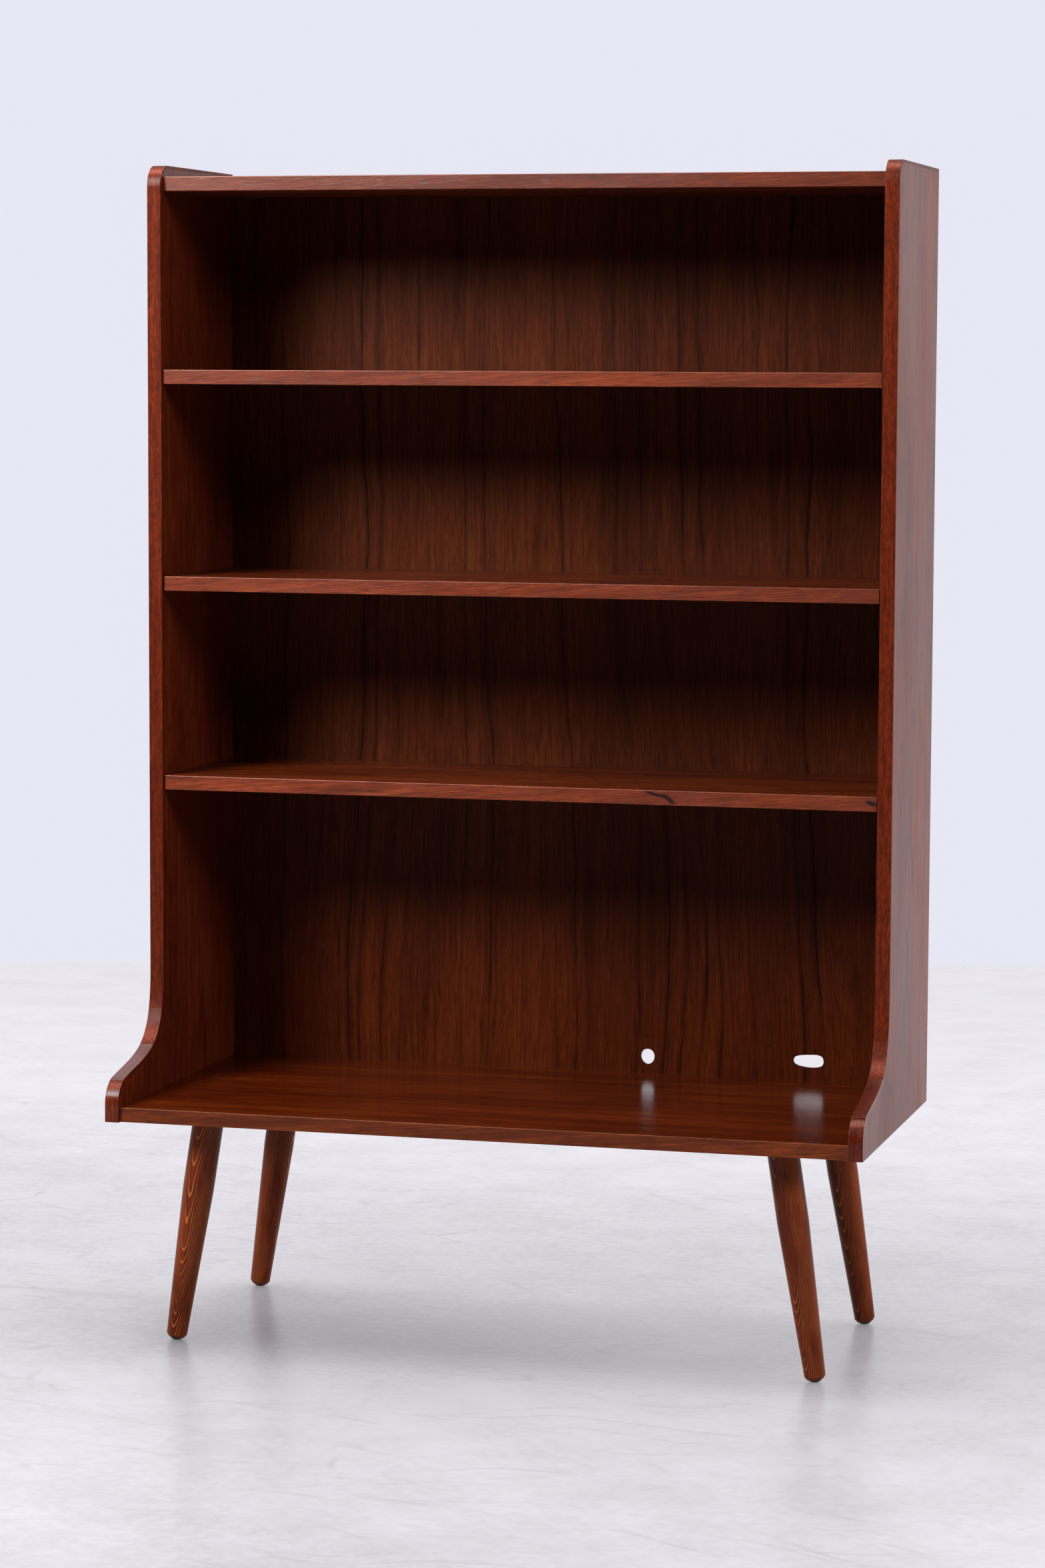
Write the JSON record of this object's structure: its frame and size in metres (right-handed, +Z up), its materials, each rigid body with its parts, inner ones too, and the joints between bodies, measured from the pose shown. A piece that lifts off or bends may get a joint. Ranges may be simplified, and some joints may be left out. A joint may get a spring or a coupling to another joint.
{
  "type": "bookcase with adjustable shelves",
  "caption": "Veneered bookcase with a deep base, curved side panels, shelves on hidden wires, cable holes in the back, and splayed turned legs.",
  "frame": {"origin": "on the floor, below the middle of the overall box", "axes": "+X to the right of someone facing the front, +Y towards the back panel, +Z up; X = 0 is the mirror plane of the case"},
  "size_m": [0.9, 0.417, 1.386],
  "materials": {
    "teak_veneer": "satin lacquered teak veneer, straight grain",
    "teak_lipping": "satin lacquered solid teak strip",
    "back_veneer": "satin teak-faced plywood, vertical grain",
    "stained_beech": "satin dark-stained turned beech",
    "pale_beech": "bare beech dowel",
    "bright_steel": "bright drawn steel wire and screws",
    "plate_steel": "dull zinc-plated pressed steel",
    "glide_black": "black domed furniture glide"
  },
  "bodies": {
    "case": {"side_panel_left": "teak_veneer", "side_panel_right": "teak_veneer", "side_lipping_upper_left": "teak_lipping", "side_lipping_upper_right": "teak_lipping", "side_lipping_bend_left": "teak_lipping", "side_lipping_bend_right": "teak_lipping", "side_lipping_nose_left": "teak_lipping", "side_lipping_nose_right": "teak_lipping", "top_panel": "teak_veneer", "top_panel_lipping": "teak_lipping", "bottom_panel": "teak_veneer", "bottom_panel_lipping": "teak_lipping", "back_panel": "back_veneer", "back_panel_nails": "bright_steel", "top_panel_dowels": "pale_beech", "bottom_panel_dowels": "pale_beech", "shelf_wire_upper_left": "bright_steel", "shelf_wire_upper_right": "bright_steel", "shelf_wire_middle_left": "bright_steel", "shelf_wire_middle_right": "bright_steel", "shelf_wire_lower_left": "bright_steel", "shelf_wire_lower_right": "bright_steel", "leg_front_left": "stained_beech", "leg_plate_front_left": "plate_steel", "leg_bolt_front_left": "bright_steel", "glide_front_left": "glide_black", "leg_front_right": "stained_beech", "leg_plate_front_right": "plate_steel", "leg_bolt_front_right": "bright_steel", "glide_front_right": "glide_black", "leg_rear_left": "stained_beech", "leg_plate_rear_left": "plate_steel", "leg_bolt_rear_left": "bright_steel", "glide_rear_left": "glide_black", "leg_rear_right": "stained_beech", "leg_plate_rear_right": "plate_steel", "leg_bolt_rear_right": "bright_steel", "glide_rear_right": "glide_black", "leg_plate_screws": "bright_steel"},
    "shelf_upper_board": {"shelf_upper": "teak_veneer", "shelf_upper_lipping": "teak_lipping"},
    "shelf_middle_board": {"shelf_middle": "teak_veneer", "shelf_middle_lipping": "teak_lipping"},
    "shelf_lower_board": {"shelf_lower": "teak_veneer", "shelf_lower_lipping": "teak_lipping"}
  },
  "joints": [
    {"name": "shelf_upper_slide", "type": "slide", "parent": "case", "child": "shelf_upper_board", "axis": [0, -1, 0], "range_m": [0, 0.17]},
    {"name": "shelf_middle_slide", "type": "slide", "parent": "case", "child": "shelf_middle_board", "axis": [0, -1, 0], "range_m": [0, 0.17]},
    {"name": "shelf_lower_slide", "type": "slide", "parent": "case", "child": "shelf_lower_board", "axis": [0, -1, 0], "range_m": [0, 0.17]}
  ]
}
